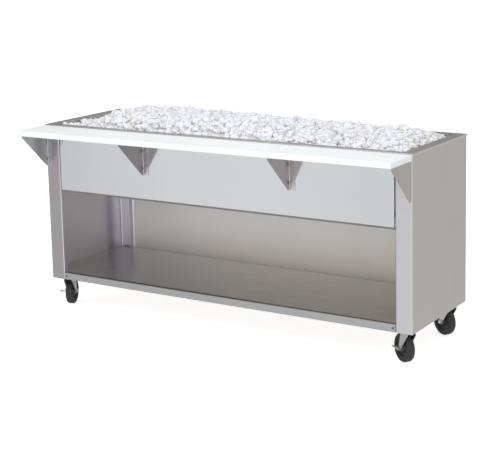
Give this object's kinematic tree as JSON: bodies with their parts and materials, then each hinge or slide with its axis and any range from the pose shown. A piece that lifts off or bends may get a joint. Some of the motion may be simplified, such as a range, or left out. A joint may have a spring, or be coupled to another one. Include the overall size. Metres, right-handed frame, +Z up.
{
  "type": "ice display buffet table",
  "caption": "Wheeled stainless buffet table with an insulated pan of heaped ice, a white cutting board on brackets along the front and an open storage shelf below.",
  "frame": {"origin": "on the floor, under the middle of the table, board included", "axes": "X along the length, front (cutting board) towards -Y, Z up"},
  "size_m": [1.9982, 0.7928, 0.9973],
  "materials": {
    "stainless": "brushed",
    "pan_steel": "brushed",
    "galvanized": "galvanized",
    "insulation": "glass-fibre wool",
    "ice": "ice cubes",
    "board": "polyethylene",
    "zinc": "zinc plated",
    "wheel_core": "moulded",
    "tyre": "smooth tread",
    "brass": "cast and turned",
    "handle": "moulded"
  },
  "bodies": {
    "table": {"left_end_panel": "stainless", "right_end_panel": "stainless", "back_panel": "stainless", "back_panel_rivets": "stainless", "front_apron": "stainless", "apron_spacers": "stainless", "bottom_shelf": "stainless", "shelf_clips": "stainless", "shelf_screws": "stainless", "board_screws": "stainless", "bracket_1": "stainless", "bracket_2": "stainless", "bracket_3": "stainless", "bracket_4": "stainless", "bracket_bolts": "stainless", "ice_pan": "pan_steel", "left_deck": "pan_steel", "right_deck": "pan_steel", "drain_strainer": "pan_steel", "front_channel": "galvanized", "rear_channel": "galvanized", "pan_jacket": "galvanized", "pan_insulation": "insulation", "ice_bed": "ice", "cutting_board": "board", "drain_body": "brass", "drain_locknut": "brass", "valve_body": "brass", "valve_tail": "brass", "caster_bolts": "zinc", "front_left_caster_plate": "zinc", "front_left_kingpin": "zinc", "front_right_caster_plate": "zinc", "front_right_kingpin": "zinc", "rear_left_caster_plate": "zinc", "rear_left_kingpin": "zinc", "rear_right_caster_plate": "zinc", "rear_right_kingpin": "zinc"},
    "drain_valve_spindle": {"valve_ball": "stainless", "valve_handle": "handle"},
    "front_left_caster": {"front_left_fork": "zinc", "front_left_axle": "zinc", "front_left_brake_pin": "zinc"},
    "front_left_roller": {"front_left_wheel": "wheel_core", "front_left_tyre": "tyre"},
    "front_left_brake": {"front_left_brake_lever": "zinc"},
    "front_right_caster": {"front_right_fork": "zinc", "front_right_axle": "zinc", "front_right_brake_pin": "zinc"},
    "front_right_roller": {"front_right_wheel": "wheel_core", "front_right_tyre": "tyre"},
    "front_right_brake": {"front_right_brake_lever": "zinc"},
    "rear_left_caster": {"rear_left_fork": "zinc", "rear_left_axle": "zinc"},
    "rear_left_roller": {"rear_left_wheel": "wheel_core", "rear_left_tyre": "tyre"},
    "rear_right_caster": {"rear_right_fork": "zinc", "rear_right_axle": "zinc"},
    "rear_right_roller": {"rear_right_wheel": "wheel_core", "rear_right_tyre": "tyre"}
  },
  "joints": [
    {"name": "drain_valve_turn", "type": "hinge", "parent": "table", "child": "drain_valve_spindle", "pos_m": [0.6, 0.102, 0.65135], "axis": [0, -1, 0], "range_deg": [0, 90]},
    {"name": "front_left_swivel", "type": "hinge", "parent": "table", "child": "front_left_caster", "pos_m": [-0.9355, -0.1135, 0.145], "axis": [0, 0, 1], "continuous": true},
    {"name": "front_left_roll", "type": "hinge", "parent": "front_left_caster", "child": "front_left_roller", "pos_m": [-0.94899, -0.08012, 0.0635], "axis": [-0.9272, -0.3746, 0], "continuous": true},
    {"name": "front_left_brake_press", "type": "hinge", "parent": "front_left_caster", "child": "front_left_brake", "pos_m": [-0.98005, -0.09267, 0.0635], "axis": [-0.3746, 0.9272, 0], "range_deg": [0, 38]},
    {"name": "front_right_swivel", "type": "hinge", "parent": "table", "child": "front_right_caster", "pos_m": [0.9355, -0.1135, 0.145], "axis": [0, 0, 1], "continuous": true},
    {"name": "front_right_roll", "type": "hinge", "parent": "front_right_caster", "child": "front_right_roller", "pos_m": [0.90531, -0.09389, 0.0635], "axis": [-0.5446, -0.8387, 0], "continuous": true},
    {"name": "front_right_brake_press", "type": "hinge", "parent": "front_right_caster", "child": "front_right_brake", "pos_m": [0.88706, -0.12199, 0.0635], "axis": [-0.8387, 0.5446, 0], "range_deg": [-38, 0]},
    {"name": "rear_left_swivel", "type": "hinge", "parent": "table", "child": "rear_left_caster", "pos_m": [-0.9355, 0.3175, 0.145], "axis": [0, 0, 1], "continuous": true},
    {"name": "rear_left_roll", "type": "hinge", "parent": "rear_left_caster", "child": "rear_left_roller", "pos_m": [-0.95766, 0.34587, 0.0635], "axis": [-0.788, -0.6157, 0], "continuous": true},
    {"name": "rear_right_swivel", "type": "hinge", "parent": "table", "child": "rear_right_caster", "pos_m": [0.9355, 0.3175, 0.145], "axis": [0, 0, 1], "continuous": true},
    {"name": "rear_right_roll", "type": "hinge", "parent": "rear_right_caster", "child": "rear_right_roller", "pos_m": [0.90342, 0.33384, 0.0635], "axis": [-0.454, -0.891, 0], "continuous": true}
  ]
}
